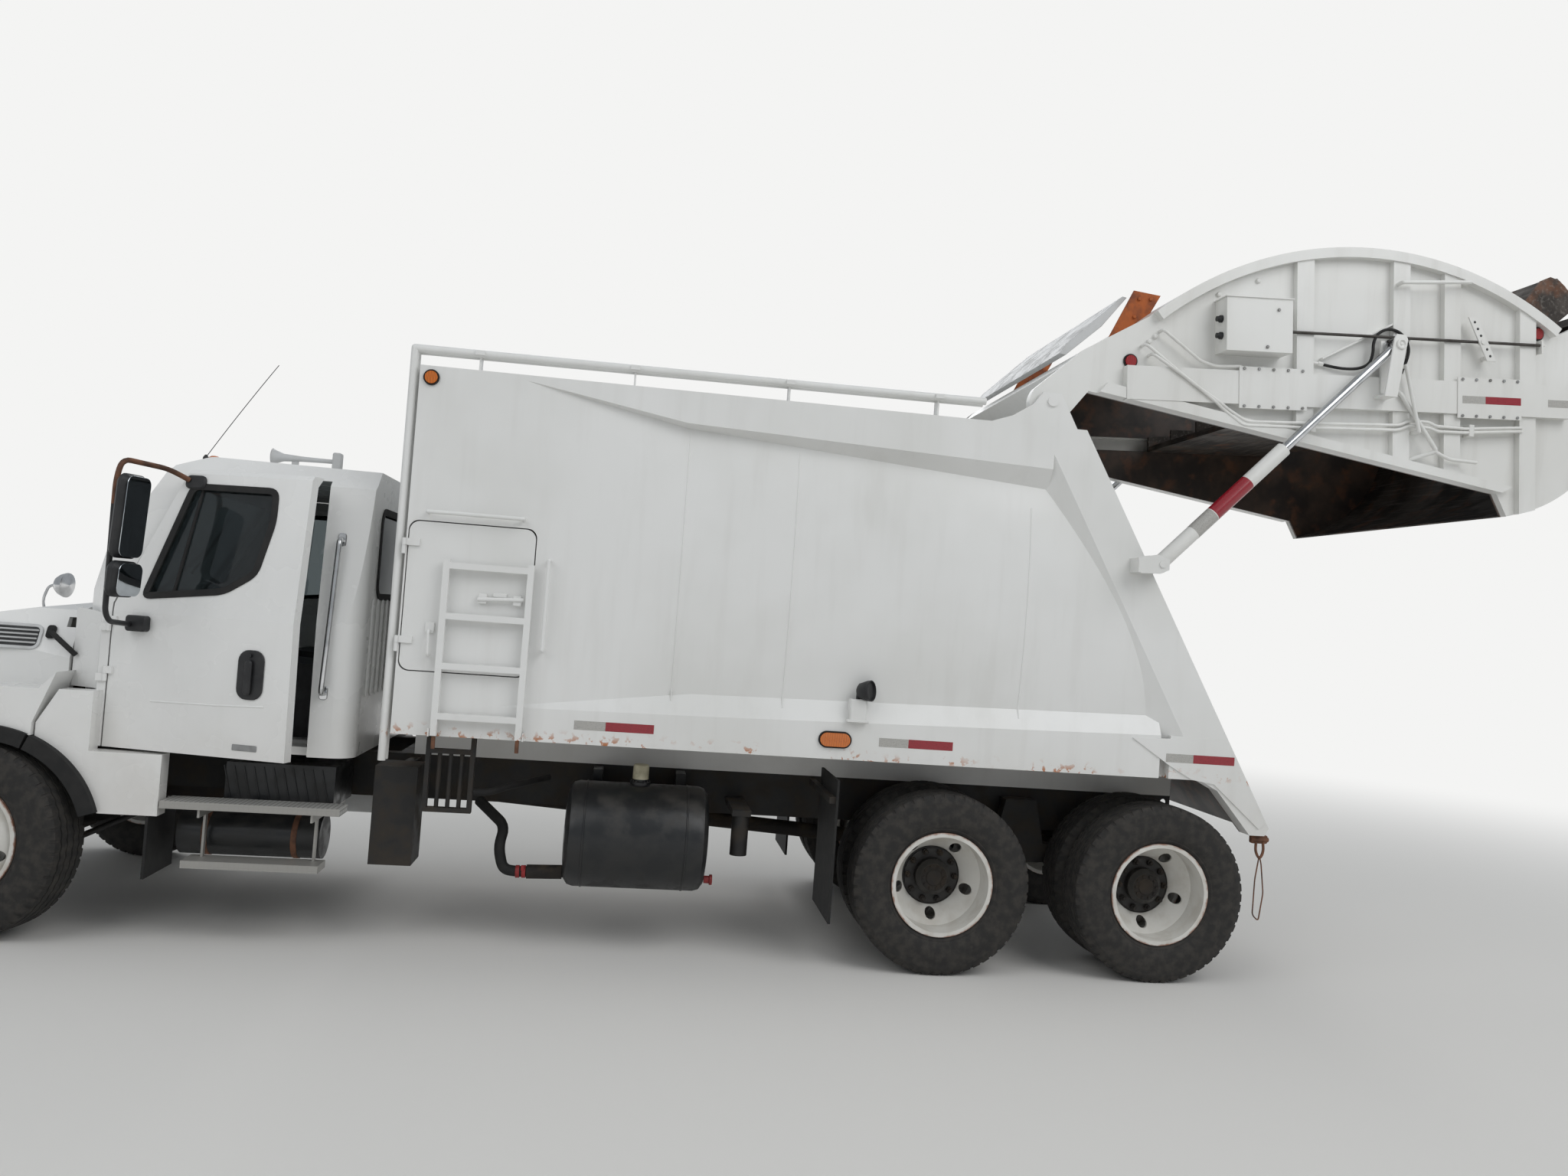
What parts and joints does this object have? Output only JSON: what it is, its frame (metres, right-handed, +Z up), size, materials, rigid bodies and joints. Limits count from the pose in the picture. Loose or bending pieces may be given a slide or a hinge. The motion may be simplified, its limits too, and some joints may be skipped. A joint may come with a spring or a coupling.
{
  "type": "garbage truck",
  "caption": "Rear-loading refuse truck with a conventional day cab, barrel-sided compactor body, raised tailgate with packer blade, side ladder and tandem rear axles.",
  "frame": {"origin": "on the ground under the middle of the whole truck with its tailgate raised", "axes": "+X forward, +Y to the truck's left, +Z up"},
  "size_m": [10.6562, 2.9857, 4.5081],
  "materials": {
    "white_paint": "weathered white enamel",
    "cab_paint": "white enamel",
    "black_paint": "satin black paint",
    "grey_paint": "grey primer and paint",
    "worn_steel": "scoured bare steel",
    "cast_iron": "rough",
    "chrome_rod": "polished",
    "tyre": "worn tread",
    "rubber": "matt",
    "glass": "tinted",
    "trim_plastic": "grained",
    "red_lens": "fluted lens",
    "amber_lens": "fluted lens",
    "clear_lens": "clear lens",
    "step_alloy": "pressed tread"
  },
  "bodies": {
    "chassis": {"frame_rails": "black_paint", "front_bumper": "grey_paint", "engine_block": "cast_iron", "front_axle": "cast_iron", "springs": "black_paint", "rear_axles": "cast_iron", "left_steps": "step_alloy", "battery_box": "black_paint", "fuel_tank": "grey_paint", "hydraulic_tank": "black_paint", "valve_rack": "black_paint", "mud_flaps": "rubber", "cab_shell": "cab_paint", "cab_glass": "glass", "cab_interior": "trim_plastic", "quarter_fenders": "cab_paint", "body_sides": "white_paint", "body_floor": "white_paint", "body_roof": "white_paint", "body_front_wall": "white_paint", "roof_pipes": "white_paint", "marker_lamps": "amber_lens"},
    "steer_knuckle_left": {"knuckle_left": "cast_iron"},
    "steer_knuckle_right": {"knuckle_right": "cast_iron"},
    "tie_rod_link": {"tie_rod": "black_paint"},
    "front_wheel_left": {"wheel_front_left": "white_paint", "tyre_front_left": "tyre"},
    "front_wheel_right": {"wheel_front_right": "white_paint", "tyre_front_right": "tyre"},
    "door_leaf_left": {"door_left": "cab_paint", "door_glass_left": "glass", "mirror_left": "black_paint"},
    "door_leaf_right": {"door_right": "cab_paint", "door_glass_right": "glass", "mirror_right": "black_paint"},
    "bonnet_shell": {"bonnet": "cab_paint", "grille": "trim_plastic", "headlamps": "clear_lens"},
    "ejector": {"ejector_panel": "worn_steel"},
    "hatch_leaf": {"side_hatch": "white_paint"},
    "folding_ladder": {"ladder": "white_paint"},
    "tailgate": {"tailgate_sides": "white_paint", "guide_channels": "white_paint", "tailgate_hood": "white_paint", "hopper_trough": "worn_steel", "riding_steps": "grey_paint", "tail_fittings": "white_paint", "tail_lamps": "red_lens"},
    "carriage": {"packer_carriage": "worn_steel"},
    "blade": {"sweep_blade": "worn_steel"},
    "lift_barrel_pair": {"lift_barrels": "white_paint"},
    "lift_rod_pair": {"lift_rods": "chrome_rod"},
    "rear_wheel_1_left": {"wheel_rear_1_left": "white_paint", "tyres_rear_1_left": "tyre"},
    "rear_wheel_1_right": {"wheel_rear_1_right": "white_paint", "tyres_rear_1_right": "tyre"},
    "rear_wheel_2_left": {"wheel_rear_2_left": "white_paint", "tyres_rear_2_left": "tyre"},
    "rear_wheel_2_right": {"wheel_rear_2_right": "white_paint", "tyres_rear_2_right": "tyre"}
  },
  "joints": [
    {"name": "steer_left", "type": "hinge", "parent": "chassis", "child": "steer_knuckle_left", "pos_m": [4.43, 0.855, 0.52], "axis": [0, 0, 1], "range_deg": [-21.5, 48.5]},
    {"name": "steer_right", "type": "hinge", "parent": "chassis", "child": "steer_knuckle_right", "pos_m": [4.43, -0.855, 0.52], "axis": [0, 0, 1], "range_deg": [-21.5, 48.5]},
    {"name": "tie_rod_turn", "type": "hinge", "parent": "steer_knuckle_left", "child": "tie_rod_link", "pos_m": [4.24525, 0.89936, 0.433], "axis": [0, 0, 1], "range_deg": [-48.5, 21.5]},
    {"name": "spin_front_left", "type": "hinge", "parent": "steer_knuckle_left", "child": "front_wheel_left", "pos_m": [4.47085, 1.02517, 0.52], "axis": [0.2334, 0.9724, 0], "continuous": true},
    {"name": "spin_rear_1_left", "type": "hinge", "parent": "chassis", "child": "rear_wheel_1_left", "pos_m": [-0.74, 1.075, 0.52], "axis": [0, 1, 0], "continuous": true},
    {"name": "spin_rear_2_left", "type": "hinge", "parent": "chassis", "child": "rear_wheel_2_left", "pos_m": [-2.061, 1.075, 0.52], "axis": [0, 1, 0], "continuous": true},
    {"name": "spin_front_right", "type": "hinge", "parent": "steer_knuckle_right", "child": "front_wheel_right", "pos_m": [4.38915, -1.02517, 0.52], "axis": [0.2334, 0.9724, 0], "continuous": true},
    {"name": "spin_rear_1_right", "type": "hinge", "parent": "chassis", "child": "rear_wheel_1_right", "pos_m": [-0.74, -1.075, 0.52], "axis": [0, 1, 0], "continuous": true},
    {"name": "spin_rear_2_right", "type": "hinge", "parent": "chassis", "child": "rear_wheel_2_right", "pos_m": [-2.061, -1.075, 0.52], "axis": [0, 1, 0], "continuous": true},
    {"name": "door_left_swing", "type": "hinge", "parent": "chassis", "child": "door_leaf_left", "pos_m": [3.91, 1.057, 1.6], "axis": [0, 0, -1], "range_deg": [-15, 55]},
    {"name": "door_right_swing", "type": "hinge", "parent": "chassis", "child": "door_leaf_right", "pos_m": [3.91, -1.057, 1.6], "axis": [0, 0, 1], "range_deg": [0, 70]},
    {"name": "bonnet_tilt", "type": "hinge", "parent": "chassis", "child": "bonnet_shell", "pos_m": [5.175, 0, 0.865], "axis": [0, 1, 0], "range_deg": [0, 55]},
    {"name": "ejector_slide", "type": "slide", "parent": "chassis", "child": "ejector", "axis": [-1, 0, 0], "range_m": [0, 3.6]},
    {"name": "ladder_fold", "type": "hinge", "parent": "chassis", "child": "folding_ladder", "pos_m": [1.925, 1.262, 1.232], "axis": [-1, 0, 0], "range_deg": [0, 178]},
    {"name": "hatch_swing", "type": "hinge", "parent": "chassis", "child": "hatch_leaf", "pos_m": [2.386, 1.234, 1.95], "axis": [0, 0, -1], "range_deg": [0, 81]},
    {"name": "tailgate_lift", "type": "hinge", "parent": "chassis", "child": "tailgate", "pos_m": [-1.198, 0, 3.361], "axis": [0, 1, 0], "range_deg": [-52.4, 0]},
    {"name": "carriage_slide", "type": "slide", "parent": "tailgate", "child": "carriage", "axis": [0.9985, 0, -0.0548], "range_m": [0, 1]},
    {"name": "sweep_swing", "type": "hinge", "parent": "carriage", "child": "blade", "pos_m": [-4.0281, 0, 3.82198], "axis": [0, 1, 0], "range_deg": [-92, 0]},
    {"name": "lift_barrel_swing", "type": "hinge", "parent": "chassis", "child": "lift_barrel_pair", "pos_m": [-1.875, 0, 2.453], "axis": [0, 1, 0], "range_deg": [-64, 1]},
    {"name": "lift_rod_slide", "type": "slide", "parent": "lift_barrel_pair", "child": "lift_rod_pair", "axis": [-0.7019, 0, 0.7123], "range_m": [-0.925, 0.005]}
  ],
  "couplings": [
    {"joint": "steer_right", "follows": "steer_left", "ratio": 1},
    {"joint": "tie_rod_turn", "follows": "steer_left", "ratio": -1},
    {"joint": "hatch_swing", "follows": "ladder_fold", "ratio": 0.45},
    {"joint": "lift_barrel_swing", "follows": "tailgate_lift", "ratio": 1.196},
    {"joint": "lift_rod_slide", "follows": "tailgate_lift", "m_per_rad": 1}
  ]
}
